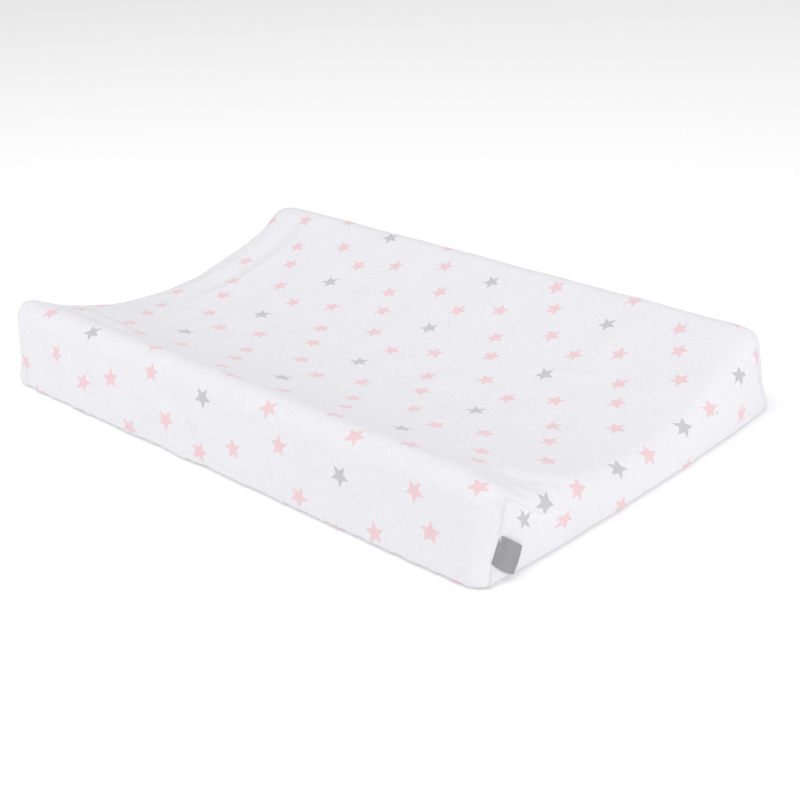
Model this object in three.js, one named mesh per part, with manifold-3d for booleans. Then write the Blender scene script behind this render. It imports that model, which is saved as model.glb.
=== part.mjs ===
// Changing pad with a concave top: a foam core in a zipped wipe-clean liner, under a fitted cotton cover.
// Millimetres, +Z up, X along the pad. The origin is the middle of the underside.

import * as THREE from 'three';
import { mergeVertices } from 'three/addons/utils/BufferGeometryUtils.js';
import Module from 'manifold-3d';

const wasm = await Module();
wasm.setup();

// ---- driving dimensions ----
const LENGTH = 704;            // over the cover's end faces
const BASE_WIDTH = 450;        // over the cover at the base
const RIDGE_HEIGHT = 91;       // top of the two side ridges
const TROUGH_HEIGHT = 41;      // lowest line of the lying surface
const RIDGE_SPACING = 384;     // between the two ridge crests
const RIDGE_RADIUS = 20;       // rounding of each ridge
const END_RADIUS = 18;         // rounding of the end edges and the upright corners

// ---- layers, as depths below the cover's outer surface ----
const COVER_CLOTH = 1.2;
const LINER_OUT = 5.0;         // leaves room for the zip, the piping and the cover's seam allowances
const LINER_IN = 6.0;
const FOAM_OUT = 6.4;
const JOINT_GAP = 0.3;         // between pieces that touch

// ---- heights at the underside ----
const HEM_TOP = 6.7;           // where the hem casing takes over from the cover panel
const HEM_ROUND = 5.5;         // rounding where the hem turns under
const HEM_CLOTH = 1.1;
const HEM_WIDTH = 48;          // how far the hem reaches under the pad
const CASING_WIDTH = 9;
const CASING_HEIGHT = 4;
const RIM_HEIGHT = 5.6;        // the base panel is raised this much above the hem
const STEP_START = 50;         // the base panel steps down from here inwards
const STEP_WIDTH = 12;
const STEP_CORNER = 30;        // plan rounding of the raised middle
const HEM_CORNER = 25;         // plan rounding of the hem's inner edge
const BASE_CLOTH = 1.0;

// ---- zip in the front wall ----
const ZIP_HEIGHT = 32;         // of its centre line
const ZIP_LENGTH = 600;
const SLOT_HALF = 5;           // half the slot in the liner
const TAPE_EDGE = 2.0;
const TAPE_WIDTH = 13;
const TEETH_PITCH = 6;
const TOOTH_ROOT = 1.5;        // from the zip's centre line to the gaps between the teeth
const TOOTH_REACH = 1.0;       // past the centre line to the teeth's tips
const TOOTH_TIP = 1.6;
const TOOTH_SLOPE = 0.3;
const TEETH_BACK = 2.6;        // from the centre line to the back of the teeth
const TEETH_THICKNESS = 1.6;
const TAPE_BACK = -2.0;        // heights above the liner's front wall
const TAPE_FRONT = -1.35;
const TEETH_LOW = -1.0;
const STOP_HALF = 2.8;
const STOP_LENGTH = 3.5;
const STOP_HIGH = 1.2;
const SLIDER_LENGTH = 12;
const SLIDER_WIDTH = 8;
const SLIDER_NOSE = 3;         // length of the slider's tapered front
const PLATE_THICKNESS = 0.9;
const PLATE_FRONT = 1.0;       // underside of the slider's outer plate
const PLATE_BACK = -3.6;       // underside of its back plate
const POST_RADIUS = 0.8;
const POST_HEIGHT = 1.6;
const CAP_RADIUS = 1.5;
const CAP_HEIGHT = 0.4;
const PULL_LENGTH = 20;        // from the post to the middle of the rounded end
const PULL_EYE = 1.15;
const PULL_HEAD = 3;
const PULL_TAIL = 3.4;
const PULL_SLOT = 1.2;         // half width of the finger cord's slot
const PULL_THICKNESS = 0.6;
const SLIDER_START = 286;      // where the slider rests when the zip is closed

// ---- sewn details ----
const PIPING_DEPTH = 3.0;
const PIPING_RADIUS = 1.1;
const PIPING_FOOT = 9;
const SEAM_LENGTH = 48;        // of the corner seams, up from their feet
const SEAM_FOOT = 9;
const SEAM_WIDTH = 2.4;
const SEAM_CLOTH = 0.9;
const SEAM_DEPTH = 3.0;
const ELASTIC_START = 40;      // reach of the elastic under the pad
const ELASTIC_END = 46.5;
const ELASTIC_THICKNESS = 1.2;
const LABEL_SIZE = 26;
const LABEL_THICKNESS = 0.8;
const LABEL_PLACE = [-191, 23.4];   // its middle on the end face: y and z
const LABEL_TURN = -0.74;
const CARE_LABEL = { thickness: 0.5, width: 40, height: 28, y: 120, z: 26, depth: 3.2 };

const HALF_LENGTH = LENGTH / 2;
const HALF_WIDTH = BASE_WIDTH / 2;
const RIDGE_Y = RIDGE_SPACING / 2;
const RIDGE_Z = RIDGE_HEIGHT - RIDGE_RADIUS;
const CORE_HALF = HALF_LENGTH - END_RADIUS;

// The trough is one arc, tangent to both ridge arcs.
const drop = TROUGH_HEIGHT - RIDGE_Z;
const TROUGH_RADIUS = (RIDGE_Y ** 2 + drop ** 2 - RIDGE_RADIUS ** 2) / (2 * (RIDGE_RADIUS - drop));
const TROUGH_Z = TROUGH_HEIGHT + TROUGH_RADIUS;

// Each side wall runs from the base edge, tangent to its ridge arc. LEAN is its lean from upright.
const wallRun = HALF_WIDTH - RIDGE_Y;
const LEAN = Math.acos(RIDGE_RADIUS / Math.hypot(wallRun, RIDGE_Z)) - Math.atan2(RIDGE_Z, wallRun);

const root = new THREE.Group();

// ---- helpers ----

function finish(colour, roughness, metalness = 0) {
  return new THREE.MeshStandardMaterial({ color: colour, roughness, metalness });
}

function addNode(name, geometry, material, parent = root) {
  const mesh = new THREE.Mesh(geometry, material);
  mesh.name = name;
  parent.add(mesh);
  return mesh;
}

function toSolid(geometry) {
  const bare = geometry.clone();
  bare.deleteAttribute('normal');
  bare.deleteAttribute('uv');
  const merged = mergeVertices(bare, 1e-4);
  return new wasm.Manifold(new wasm.Mesh({
    numProp: 3,
    vertProperties: new Float32Array(merged.attributes.position.array),
    triVerts: new Uint32Array(merged.index.array),
  }));
}

function toGeometry(solid) {
  const mesh = solid.getMesh();
  const geometry = new THREE.BufferGeometry();
  geometry.setAttribute('position', new THREE.BufferAttribute(mesh.vertProperties, 3));
  geometry.setIndex(new THREE.BufferAttribute(mesh.triVerts, 1));
  return geometry;
}

function box(x0, x1, y0, y1, z0, z1) {
  const geometry = new THREE.BoxGeometry(x1 - x0, y1 - y0, z1 - z0);
  return geometry.translate((x0 + x1) / 2, (y0 + y1) / 2, (z0 + z1) / 2);
}

// Half width of the side walls at a height, a given depth below the cover's surface.
function wallY(z, depth) {
  return HALF_WIDTH - z * Math.tan(LEAN) - depth / Math.cos(LEAN);
}

// ---- the pad's section and the bodies made from it ----

// The section across the pad, drawn in (y, z), with its walls run on below the base for trimming.
function padSection(depth) {
  const footZ = -LENGTH / 10;
  const ridge = RIDGE_RADIUS - depth;
  const crest = Math.atan2(TROUGH_Z - RIDGE_Z, -RIDGE_Y);
  const section = new THREE.Shape();
  section.moveTo(-wallY(footZ, depth), footZ);
  section.lineTo(wallY(footZ, depth), footZ);
  section.absarc(RIDGE_Y, RIDGE_Z, ridge, LEAN, crest, false);
  section.absarc(0, TROUGH_Z, TROUGH_RADIUS + depth, crest - Math.PI, -crest, true);
  section.absarc(-RIDGE_Y, RIDGE_Z, ridge, Math.PI - crest, Math.PI - LEAN, false);
  return section;
}

// The whole pad at a depth below the cover's surface, ends rounded, cut off level at baseZ.
function padBody(depth, baseZ) {
  const round = END_RADIUS - depth;
  const geometry = new THREE.ExtrudeGeometry(padSection(depth), {
    depth: 2 * CORE_HALF,
    bevelThickness: round,
    bevelSize: round,
    bevelOffset: -round,
    bevelSegments: 4,
    curveSegments: 4,
  });
  const alongX = new THREE.Matrix4().makeBasis(
    new THREE.Vector3(0, 1, 0), new THREE.Vector3(0, 0, 1), new THREE.Vector3(1, 0, 0));
  geometry.applyMatrix4(alongX).translate(-CORE_HALF, 0, 0);
  const keep = box(-LENGTH, LENGTH, -LENGTH, LENGTH, baseZ, LENGTH);
  return toSolid(geometry).intersect(toSolid(keep));
}

// A skin between two depths, open underneath.
function padSkin(outer, inner, baseZ) {
  return padBody(outer, baseZ).subtract(padBody(inner, baseZ - 5));
}

// ---- level slabs and rings under the pad ----

const HEM_HALF_Y = wallY(HEM_TOP, 0);

function plan(inset, corner) {
  const x = HALF_LENGTH - inset;
  const y = HEM_HALF_Y - inset;
  const shape = new THREE.Shape();
  shape.moveTo(-x + corner, -y);
  shape.lineTo(x - corner, -y);
  shape.absarc(x - corner, -y + corner, corner, -Math.PI / 2, 0, false);
  shape.lineTo(x, y - corner);
  shape.absarc(x - corner, y - corner, corner, 0, Math.PI / 2, false);
  shape.lineTo(-x + corner, y);
  shape.absarc(-x + corner, y - corner, corner, Math.PI / 2, Math.PI, false);
  shape.lineTo(-x, -y + corner);
  shape.absarc(-x + corner, -y + corner, corner, Math.PI, Math.PI * 1.5, false);
  return shape;
}

// A level slab from z0 to z1 with square edges.
function slab(inset, corner, z0, z1) {
  const shape = plan(inset, corner);
  const geometry = new THREE.ExtrudeGeometry(shape, { depth: z1 - z0, bevelEnabled: false, curveSegments: 3 });
  return toSolid(geometry.translate(0, 0, z0));
}

// A level slab whose lower edge is rounded or chamfered inwards, trimmed at z1.
function footedSlab(inset, corner, z0, z1, edgeHeight, edgeWidth, steps) {
  const geometry = new THREE.ExtrudeGeometry(plan(inset, corner), {
    depth: 20,
    bevelThickness: edgeHeight,
    bevelSize: edgeWidth,
    bevelOffset: -edgeWidth,
    bevelSegments: steps,
    curveSegments: 3,
  });
  geometry.translate(0, 0, z0 + edgeHeight);
  return toSolid(geometry).intersect(toSolid(box(-LENGTH, LENGTH, -LENGTH, LENGTH, z0 - 1, z1)));
}

// Corners of the hem's inner edge, concentric.
function hemCorner(inset) {
  return HEM_CORNER + HEM_WIDTH - inset;
}

function ring(outer, inner, z0, z1) {
  return slab(outer, hemCorner(outer), z0, z1).subtract(slab(inner, hemCorner(inner), z0 - 1, z1 + 1));
}

// ---- the core and the liner ----

const clothLiner = finish(0xf4f4f2, 0.45);
const clothCover = finish(0xf6f5f7, 0.95);

// The front wall's own frame: x along the pad, y up the wall, z out of it, from the zip's centre line.
function frontWallFrame() {
  const frame = new THREE.Group();
  frame.position.set(0, -wallY(ZIP_HEIGHT, LINER_OUT), ZIP_HEIGHT);
  frame.rotation.x = Math.PI / 2 - LEAN;
  frame.updateMatrix();
  return frame;
}

function onFrontWall(geometry) {
  return toSolid(geometry.applyMatrix4(frontWallFrame().matrix));
}

function foamCore() {
  const gap = 0.4;
  const halfZip = ZIP_LENGTH / 2 + 6;
  const halfTapes = TAPE_EDGE + TAPE_WIDTH + 2;
  const halfSlider = SLIDER_WIDTH / 2 + 2.5;
  const tapeRelief = box(-halfZip, halfZip, -halfTapes, halfTapes, TAPE_BACK - 0.5, LINER_IN);
  const sliderRelief = box(-halfZip, halfZip, -halfSlider, halfSlider, PLATE_BACK - 0.9, LINER_IN);
  const foot = footedSlab(
    STEP_START + 2 * gap, STEP_CORNER, BASE_CLOTH + gap, TROUGH_HEIGHT / 2, RIM_HEIGHT, STEP_WIDTH, 1);
  return padBody(FOAM_OUT, RIM_HEIGHT + BASE_CLOTH + gap)
    .add(foot)
    .subtract(onFrontWall(tapeRelief))
    .subtract(onFrontWall(sliderRelief));
}

function basePanel() {
  const rimTop = RIM_HEIGHT + BASE_CLOTH;
  const under = slab(LINER_OUT, END_RADIUS - LINER_OUT, RIM_HEIGHT, rimTop)
    .add(footedSlab(STEP_START, STEP_CORNER, 0, rimTop, RIM_HEIGHT, STEP_WIDTH, 1));
  const wall = 0.4;
  const hollow = footedSlab(
    STEP_START + wall, STEP_CORNER, BASE_CLOTH, TROUGH_HEIGHT / 2, RIM_HEIGHT, STEP_WIDTH, 1);
  return under.subtract(hollow);
}

function addLiner() {
  const skin = padSkin(LINER_OUT, LINER_IN, RIM_HEIGHT + BASE_CLOTH + JOINT_GAP);
  const halfGap = JOINT_GAP / 2;
  const halfLiner = CORE_HALF - halfGap;
  const through = LINER_IN + 2;
  const middle = toSolid(box(-halfLiner, halfLiner, -LENGTH, LENGTH, -1, LENGTH));
  const strip = onFrontWall(box(-LENGTH, LENGTH, -RIDGE_HEIGHT, -halfGap, -through, through));
  const slot = onFrontWall(
    box(-ZIP_LENGTH / 2, ZIP_LENGTH / 2, -SLOT_HALF, SLOT_HALF, -through, through));
  const seamCut = onFrontWall(box(-LENGTH, LENGTH, -RIDGE_HEIGHT, halfGap, -through, through));
  addNode('liner_top_panel', toGeometry(skin.intersect(middle).subtract(seamCut).subtract(slot)), clothLiner);
  addNode('liner_front_strip', toGeometry(skin.intersect(middle).intersect(strip).subtract(slot)), clothLiner);
  addNode('liner_base_panel', toGeometry(basePanel()), finish(0xd9dadd, 0.8));
  for (const [side, sign] of [['left', -1], ['right', 1]]) {
    const inner = sign * (CORE_HALF + halfGap);
    const outer = sign * LENGTH;
    const beyond = box(Math.min(inner, outer), Math.max(inner, outer), -LENGTH, LENGTH, -1, LENGTH);
    addNode(`liner_end_panel_${side}`, toGeometry(skin.intersect(toSolid(beyond))), clothLiner);
  }
}

// Piping over each end seam: a thin cord along the pad's section, from the base over both ridges.
function addPiping() {
  const section = padSection(PIPING_DEPTH).getPoints(4).filter((point) => point.y > 0);
  const path = new THREE.CurvePath();
  const points = section.map((point) => new THREE.Vector3(0, point.x, point.y));
  points.unshift(new THREE.Vector3(0, wallY(PIPING_FOOT, PIPING_DEPTH), PIPING_FOOT));
  points.push(new THREE.Vector3(0, -wallY(PIPING_FOOT, PIPING_DEPTH), PIPING_FOOT));
  for (let i = 1; i < points.length; i += 1) {
    path.add(new THREE.LineCurve3(points[i - 1], points[i]));
  }
  const cord = new THREE.Shape().absarc(0, 0, PIPING_RADIUS, 0, 2 * Math.PI, false);
  for (const [side, sign] of [['left', -1], ['right', 1]]) {
    const geometry = new THREE.ExtrudeGeometry(cord, { steps: 90, curveSegments: 4, extrudePath: path });
    const mesh = addNode(`end_piping_${side}`, geometry, finish(0xe2e2e4, 0.6));
    mesh.position.x = sign * CORE_HALF;
  }
}

// ---- the zip, drawn in the front wall's frame ----

// One row of teeth as a single comb, which ends short of the closed slider.
function comb(sign) {
  const start = 4 - ZIP_LENGTH / 2;
  const stop = SLIDER_START - SLIDER_LENGTH / 2 - 1;
  const phase = sign > 0 ? 0 : TEETH_PITCH / 2;
  const foot = TOOTH_TIP + 2 * TOOTH_SLOPE;
  const shape = new THREE.Shape();
  shape.moveTo(start, sign * TEETH_BACK);
  shape.lineTo(start, sign * TOOTH_ROOT);
  for (let x = start + 2 + phase; x + 2 < stop; x += TEETH_PITCH) {
    shape.lineTo(x, sign * TOOTH_ROOT);
    shape.lineTo(x + TOOTH_SLOPE, -sign * TOOTH_REACH);
    shape.lineTo(x + TOOTH_SLOPE + TOOTH_TIP, -sign * TOOTH_REACH);
    shape.lineTo(x + foot, sign * TOOTH_ROOT);
  }
  shape.lineTo(stop, sign * TOOTH_ROOT);
  shape.lineTo(stop, sign * TEETH_BACK);
  const geometry = new THREE.ExtrudeGeometry(shape, { depth: TEETH_THICKNESS, bevelEnabled: false });
  return geometry.translate(0, 0, TEETH_LOW);
}

function addZip(frame) {
  const tapeEnd = ZIP_LENGTH / 2 + 2;
  const tape = finish(0xeeeef0, 0.85);
  const nylon = finish(0xe6e6e8, 0.4);
  const stopStart = SLIDER_START + SLIDER_LENGTH / 2 + 1.5;
  for (const [side, sign] of [['upper', 1], ['lower', -1]]) {
    const near = sign * TAPE_EDGE;
    const far = sign * (TAPE_EDGE + TAPE_WIDTH);
    const low = Math.min(near, far);
    const strip = box(-tapeEnd, tapeEnd, low, low + TAPE_WIDTH, TAPE_BACK, TAPE_FRONT);
    addNode(`zip_tape_${side}`, strip, tape, frame);
    addNode(`zip_teeth_${side}`, comb(sign), nylon, frame);
    const stopLow = sign > 0 ? STOP_HIGH : -STOP_HALF;
    const stopTop = stopLow + STOP_HALF - STOP_HIGH;
    const stop = box(stopStart, stopStart + STOP_LENGTH, stopLow, stopTop, TEETH_LOW, STOP_HIGH);
    addNode(`zip_top_stop_${side}`, stop, nylon, frame);
  }
  const zipStart = -ZIP_LENGTH / 2;
  const bottomStop = box(zipStart, zipStart + 3.4, -STOP_HALF, STOP_HALF, TEETH_LOW, -TEETH_LOW);
  addNode('zip_bottom_stop', bottomStop, nylon, frame);
}

// An upright round post or cap of the slider, from height z.
function disc(radius, height, z) {
  const geometry = new THREE.CylinderGeometry(radius, radius, height, 12).rotateX(Math.PI / 2);
  return toSolid(geometry.translate(0, 0, z + height / 2));
}

// Outer and back plates joined by a wedge ahead of the teeth, with a post that the pull hangs on.
function slider() {
  const half = SLIDER_LENGTH / 2;
  const halfWidth = SLIDER_WIDTH / 2;
  const outline = new THREE.Shape();
  outline.moveTo(-half, 1.5 - halfWidth);
  outline.lineTo(half - SLIDER_NOSE, -halfWidth);
  outline.lineTo(half, 2 - halfWidth);
  outline.lineTo(half, halfWidth - 2);
  outline.lineTo(half - SLIDER_NOSE, halfWidth);
  outline.lineTo(-half, halfWidth - 1.5);
  const plate = (z) => toSolid(
    new THREE.ExtrudeGeometry(outline, { depth: PLATE_THICKNESS, bevelEnabled: false }).translate(0, 0, z));
  const wedge = new THREE.Shape();
  wedge.moveTo(-3.4, 0);
  wedge.lineTo(1.5, -0.9);
  wedge.lineTo(5, -0.6);
  wedge.lineTo(5, 0.6);
  wedge.lineTo(1.5, 0.9);
  const inPlate = 0.4;
  const coreLow = PLATE_BACK + inPlate;
  const coreDepth = PLATE_FRONT + inPlate - coreLow;
  const core = new THREE.ExtrudeGeometry(wedge, { depth: coreDepth, bevelEnabled: false });
  const postLow = PLATE_FRONT + PLATE_THICKNESS - 0.2;
  return plate(PLATE_FRONT)
    .add(plate(PLATE_BACK))
    .add(toSolid(core.translate(0, 0, coreLow)))
    .add(disc(POST_RADIUS, POST_HEIGHT, postLow))
    .add(disc(CAP_RADIUS, CAP_HEIGHT, postLow + POST_HEIGHT - 0.3));
}

// A flat tab with a round hole for the post and a slot for a finger cord.
function pull() {
  const tab = new THREE.Shape();
  tab.absarc(0, 0, PULL_HEAD, 0, Math.PI, false);
  tab.lineTo(-PULL_TAIL, -PULL_LENGTH);
  tab.absarc(0, -PULL_LENGTH, PULL_TAIL, Math.PI, 2 * Math.PI, false);
  const eye = new THREE.Path().absarc(0, 0, PULL_EYE, 0, 2 * Math.PI, true);
  const slot = new THREE.Path();
  slot.absarc(0, -9, PULL_SLOT, 0, Math.PI, false);
  slot.absarc(0, 2 - PULL_LENGTH, PULL_SLOT, Math.PI, 2 * Math.PI, false);
  tab.holes.push(eye, slot);
  const above = PLATE_FRONT + PLATE_THICKNESS + 0.25;
  const settings = { depth: PULL_THICKNESS, bevelEnabled: false, curveSegments: 8 };
  return new THREE.ExtrudeGeometry(tab, settings).translate(0, 0, above);
}

// ---- the cover ----

function hemCasing() {
  const outer = footedSlab(0, END_RADIUS, 0, HEM_TOP, HEM_ROUND, HEM_ROUND, 3);
  const round = HEM_ROUND - HEM_CLOTH;
  const hollow = footedSlab(
    HEM_CLOTH, END_RADIUS - HEM_CLOTH, HEM_CLOTH, 2 * HEM_TOP, round, round, 3);
  const mouth = slab(HEM_WIDTH, hemCorner(HEM_WIDTH), -1, HEM_CLOTH + 1);
  const fold = ring(HEM_WIDTH - HEM_CLOTH, HEM_WIDTH, HEM_CLOTH / 2, CASING_HEIGHT)
    .add(ring(HEM_WIDTH - CASING_WIDTH, HEM_WIDTH, CASING_HEIGHT - HEM_CLOTH, CASING_HEIGHT));
  return outer.subtract(hollow).subtract(mouth).add(fold);
}

// The seam allowance inside an upright corner, standing inwards between the cover and the liner.
function cornerSeam(xSign, ySign) {
  const middle = SEAM_FOOT + SEAM_LENGTH / 2;
  const reach = (END_RADIUS - SEAM_DEPTH) * Math.SQRT1_2;
  const rib = new THREE.BoxGeometry(SEAM_WIDTH, SEAM_CLOTH, SEAM_LENGTH);
  rib.rotateZ(xSign * ySign * Math.PI / 4);
  rib.rotateX(ySign * LEAN);
  const x = xSign * (CORE_HALF + reach);
  const y = ySign * (wallY(middle, 0) - END_RADIUS + reach);
  return rib.translate(x, y, middle);
}

function addCover() {
  addNode('cover_panel', toGeometry(padSkin(0, COVER_CLOTH, HEM_TOP + JOINT_GAP)), clothCover);
  addNode('hem_casing', toGeometry(hemCasing()), clothCover);
  const elasticZ = HEM_CLOTH + JOINT_GAP;
  const elastic = ring(ELASTIC_START, ELASTIC_END, elasticZ, elasticZ + ELASTIC_THICKNESS);
  addNode('hem_elastic', toGeometry(elastic), finish(0xf0f0f0, 0.7));
  for (const [end, ySign] of [['front', -1], ['back', 1]]) {
    for (const [side, xSign] of [['left', -1], ['right', 1]]) {
      addNode(`corner_seam_${end}_${side}`, cornerSeam(xSign, ySign), finish(0xf2f2f4, 0.9));
    }
  }
}

// A blank woven tab sewn into the front right corner seam, hanging over the end face.
function addSideLabel() {
  const tab = new THREE.BoxGeometry(LABEL_THICKNESS, LABEL_SIZE, LABEL_SIZE);
  const label = addNode('side_label', tab, finish(0x9e9ea3, 0.8));
  label.position.set(HALF_LENGTH + JOINT_GAP + LABEL_THICKNESS / 2, ...LABEL_PLACE);
  label.rotation.x = LABEL_TURN;
}

addNode('foam_core', toGeometry(foamCore()), finish(0xe9e2cf, 0.95));
addLiner();
addPiping();

const zipFrame = frontWallFrame();
root.add(zipFrame);
addZip(zipFrame);
const sliderNode = addNode('zip_slider', toGeometry(slider()), finish(0xc8c9cc, 0.35, 1), zipFrame);
sliderNode.position.x = SLIDER_START;
const pullNode = addNode('zip_pull', pull(), finish(0xc8c9cc, 0.35, 1), zipFrame);
pullNode.position.x = SLIDER_START;

const careTab = new THREE.BoxGeometry(CARE_LABEL.thickness, CARE_LABEL.width, CARE_LABEL.height);
const careLabel = addNode('care_label', careTab, finish(0xfafafa, 0.8));
careLabel.position.set(HALF_LENGTH - CARE_LABEL.depth, CARE_LABEL.y, CARE_LABEL.z);

addCover();
addSideLabel();

export default root;
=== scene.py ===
import math

import bpy
import numpy as np
from mathutils import Matrix, Vector


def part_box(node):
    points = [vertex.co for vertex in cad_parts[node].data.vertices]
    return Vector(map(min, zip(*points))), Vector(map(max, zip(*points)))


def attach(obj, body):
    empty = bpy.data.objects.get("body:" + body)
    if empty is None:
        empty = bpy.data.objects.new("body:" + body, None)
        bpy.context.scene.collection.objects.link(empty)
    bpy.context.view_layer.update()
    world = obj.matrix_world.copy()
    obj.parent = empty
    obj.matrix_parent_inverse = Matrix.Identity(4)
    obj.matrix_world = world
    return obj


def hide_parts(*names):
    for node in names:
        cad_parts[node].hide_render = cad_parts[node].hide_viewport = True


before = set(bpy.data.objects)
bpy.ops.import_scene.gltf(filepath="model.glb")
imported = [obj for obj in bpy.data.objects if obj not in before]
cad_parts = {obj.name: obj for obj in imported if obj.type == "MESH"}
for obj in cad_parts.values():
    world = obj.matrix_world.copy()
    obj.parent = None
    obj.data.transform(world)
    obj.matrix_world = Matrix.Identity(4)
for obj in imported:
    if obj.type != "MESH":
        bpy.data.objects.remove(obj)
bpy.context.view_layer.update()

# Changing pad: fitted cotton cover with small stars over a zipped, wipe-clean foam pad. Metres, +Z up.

bpy.ops.object.select_all(action="DESELECT")

# ---- the pad's shape, as in the CAD part ----
BASE_HALF_WIDTH = 0.225
RIDGE_Y = 0.192                # crest of each side ridge
RIDGE_RADIUS = 0.020
END_RADIUS = 0.018             # rounding of the end edges and the upright corners
TROUGH_HEIGHT = 0.041

# ---- layers, as depths below the cover's surface ----
COVER_CLOTH = 0.0010
LINER_DEPTH = 0.0050
HEM_WIDTH = 0.048
HEM_CORNER = 0.025             # plan rounding of the hem's inner edge

cover_low, cover_high = (Vector(corner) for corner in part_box("cover_panel"))
HALF_LENGTH = cover_high.x
RIDGE_TOP = cover_high.z
COVER_FOOT = cover_low.z       # where the cover panel meets the hem
CORE_HALF = HALF_LENGTH - END_RADIUS
RIDGE_Z = RIDGE_TOP - RIDGE_RADIUS

# The trough is one arc, tangent to both ridge arcs.
trough_drop = TROUGH_HEIGHT - RIDGE_Z
TROUGH_RADIUS = (RIDGE_Y ** 2 + trough_drop ** 2 - RIDGE_RADIUS ** 2) / (2 * (RIDGE_RADIUS - trough_drop))
TROUGH_Z = TROUGH_HEIGHT + TROUGH_RADIUS
TROUGH_ANGLE = math.atan2(RIDGE_Y, TROUGH_Z - RIDGE_Z)

# The side walls are tangent to the ridge arcs and lean in going up.
wall_run = BASE_HALF_WIDTH - RIDGE_Y
LEAN = math.acos(RIDGE_RADIUS / math.hypot(wall_run, RIDGE_Z)) - math.atan2(RIDGE_Z, wall_run)

# Distances along the section, measured over the cloth from the middle of the trough.
S_TROUGH = TROUGH_RADIUS * TROUGH_ANGLE
S_CREST = S_TROUGH + TROUGH_ANGLE * RIDGE_RADIUS
S_WALL = S_TROUGH + (math.pi / 2 + TROUGH_ANGLE - LEAN) * RIDGE_RADIUS
WALL_TOP = RIDGE_Z + RIDGE_RADIUS * math.sin(LEAN)
S_FOOT = S_WALL + (WALL_TOP - COVER_FOOT) / math.cos(LEAN)
A_END = CORE_HALF + END_RADIUS * math.pi / 2   # distance along the cloth to the end face's edge


# ---- camera, light and floor ----

def add_camera():
    azimuth = math.radians(46.35)
    elevation = math.radians(25.55)
    roll = math.radians(-4.27)
    data = bpy.data.cameras.new("camera")
    data.sensor_width = 36.0
    data.lens = 68.36
    data.clip_end = 50.0
    camera = bpy.data.objects.new("camera", data)
    bpy.context.collection.objects.link(camera)
    turn = (Matrix.Rotation(azimuth, 4, "Z") @ Matrix.Rotation(math.pi / 2 - elevation, 4, "X")
            @ Matrix.Rotation(roll, 4, "Z"))
    camera.matrix_world = turn @ Matrix.Translation((0.0288, -0.0076, 1.624))
    bpy.context.scene.camera = camera


def add_area_light(name, place, size, power, target=(0.0, 0.0, 0.05)):
    data = bpy.data.lights.new(name, "AREA")
    data.shape = "DISK"
    data.size = size
    data.energy = power
    light = bpy.data.objects.new(name, data)
    bpy.context.collection.objects.link(light)
    light.location = place
    light.rotation_euler = (Vector(target) - Vector(place)).to_track_quat("-Z", "Y").to_euler()


def add_studio():
    bpy.ops.mesh.primitive_plane_add(size=30.0, location=(0.0, 0.0, -0.0002))
    floor = bpy.context.object
    floor.name = "studio_floor"
    material = bpy.data.materials.new("studio_floor")
    material.use_nodes = True
    shader = material.node_tree.nodes["Principled BSDF"]
    shader.inputs["Base Color"].default_value = (0.96, 0.96, 0.96, 1.0)
    shader.inputs["Roughness"].default_value = 0.9
    shader.inputs["Specular IOR Level"].default_value = 0.1
    shader.inputs["Emission Color"].default_value = (1.0, 1.0, 1.0, 1.0)
    shader.inputs["Emission Strength"].default_value = 0.10
    floor.data.materials.append(material)
    floor.select_set(False)
    world = bpy.data.worlds.new("studio_sky")
    world.use_nodes = True
    world.node_tree.nodes["Background"].inputs["Color"].default_value = (0.985, 0.985, 1.0, 1.0)
    world.node_tree.nodes["Background"].inputs["Strength"].default_value = 0.58
    scene = bpy.context.scene
    scene.world = world
    scene.view_settings.view_transform = "Standard"
    add_area_light("key_light", (-1.2, -2.6, 2.0), 1.5, 28.0)
    add_area_light("end_light", (3.0, 0.3, 1.3), 2.0, 33.0)
    add_area_light("top_light", (0.0, -0.6, 3.0), 2.0, 25.0)


# ---- shader building ----

class Tree:
    """A node tree with a short way to add nodes and links."""

    def __init__(self, tree):
        self.nodes = tree.nodes
        self.links = tree.links

    def put(self, socket, value):
        if isinstance(value, bpy.types.NodeSocket):
            self.links.new(value, socket)
        elif value is not None:
            socket.default_value = value

    def node(self, kind, *values, **settings):
        made = self.nodes.new(kind)
        for name, value in settings.items():
            setattr(made, name, value)
        for socket, value in zip(made.inputs, values):
            self.put(socket, value)
        return made

    def math(self, operation, *values, clamp=False):
        return self.node("ShaderNodeMath", *values, operation=operation, use_clamp=clamp).outputs[0]

    def vector(self, operation, *values):
        made = self.node("ShaderNodeVectorMath", *values, operation=operation)
        return made.outputs["Value"] if operation in {"DOT_PRODUCT", "LENGTH"} else made.outputs["Vector"]

    def join(self, x, y, z=0.0):
        return self.node("ShaderNodeCombineXYZ", x, y, z).outputs[0]

    def split(self, vector):
        return self.node("ShaderNodeSeparateXYZ", vector).outputs

    def noise(self, vector, scale, detail=2.0, roughness=0.5):
        made = self.node("ShaderNodeTexNoise")
        self.put(made.inputs["Vector"], vector)
        made.inputs["Scale"].default_value = scale
        made.inputs["Detail"].default_value = detail
        made.inputs["Roughness"].default_value = roughness
        return made.outputs["Fac"]

    def smooth(self, value, low, high, out_low=0.0, out_high=1.0):
        made = self.node("ShaderNodeMapRange", value, low, high, out_low, out_high)
        made.interpolation_type = "SMOOTHSTEP"
        return made.outputs[0]

    def mix(self, factor, a, b):
        made = self.node("ShaderNodeMix", data_type="RGBA")
        self.put(made.inputs["Factor"], factor)
        self.put(made.inputs[6], a)
        self.put(made.inputs[7], b)
        return made.outputs[2]

    def group(self, group, **values):
        made = self.nodes.new("ShaderNodeGroup")
        made.node_tree = group
        for name, value in values.items():
            self.put(made.inputs[name.replace("_", " ")], value)
        return made.outputs


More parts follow.
